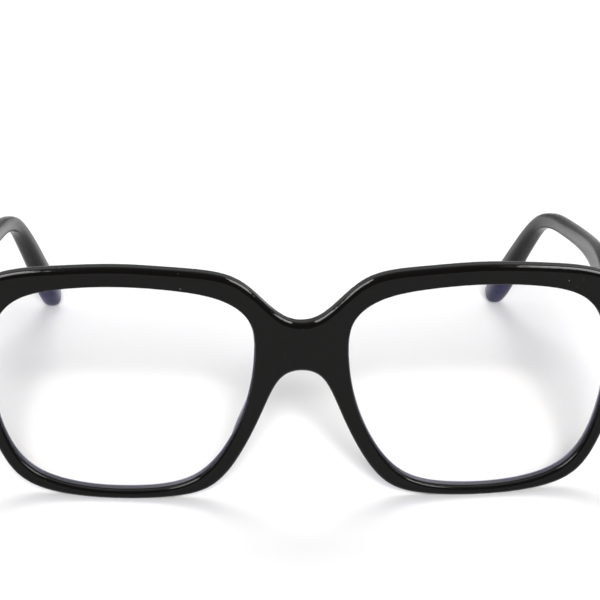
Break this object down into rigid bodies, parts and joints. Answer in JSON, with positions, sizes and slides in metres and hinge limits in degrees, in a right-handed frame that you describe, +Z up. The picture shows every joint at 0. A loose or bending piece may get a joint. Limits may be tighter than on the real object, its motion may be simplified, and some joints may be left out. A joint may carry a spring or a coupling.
{
  "type": "blue light glasses",
  "caption": "Square-rounded full-rim acetate glasses with clear plano lenses and two folding temples on five-barrel hinges.",
  "frame": {"origin": "on the table under the middle of the bounding box, glasses standing open on the lower rims and the temple tips", "axes": "+Z up; the front faces -Y; the open temples run back along +Y; +X is the wearer's left"},
  "size_m": [0.14, 0.1414, 0.0496],
  "materials": {
    "front_acetate": "polished black acetate",
    "temple_acetate": "polished black acetate",
    "pad_acetate": "polished black acetate",
    "lens": "clear with a faint blue-violet anti-reflective coat",
    "hinge_metal": "satin nickel silver",
    "screw_steel": "bright steel",
    "core_wire": "drawn nickel silver wire"
  },
  "bodies": {
    "front": {"front_frame": "front_acetate", "lens_left": "lens", "nose_pad_left": "pad_acetate", "front_hinge_left": "hinge_metal", "front_plate_screw_upper_left": "screw_steel", "front_plate_screw_lower_left": "screw_steel", "hinge_screw_left": "screw_steel", "lens_right": "lens", "nose_pad_right": "pad_acetate", "front_hinge_right": "hinge_metal", "front_plate_screw_upper_right": "screw_steel", "front_plate_screw_lower_right": "screw_steel", "hinge_screw_right": "screw_steel"},
    "temple_arm_left": {"temple_left": "temple_acetate", "core_wire_left": "core_wire", "temple_hinge_left": "hinge_metal", "temple_plate_screw_front_left": "screw_steel", "temple_plate_screw_rear_left": "screw_steel"},
    "temple_arm_right": {"temple_right": "temple_acetate", "core_wire_right": "core_wire", "temple_hinge_right": "hinge_metal", "temple_plate_screw_front_right": "screw_steel", "temple_plate_screw_rear_right": "screw_steel"}
  },
  "joints": [
    {"name": "temple_fold_left", "type": "hinge", "parent": "front", "child": "temple_arm_left", "pos_m": [0.0634, -0.05816, 0.03928], "axis": [0, 0.0698, 0.9976], "range_deg": [0, 84]},
    {"name": "temple_fold_right", "type": "hinge", "parent": "front", "child": "temple_arm_right", "pos_m": [-0.0634, -0.05816, 0.03928], "axis": [0, -0.0698, -0.9976], "range_deg": [0, 67]}
  ]
}
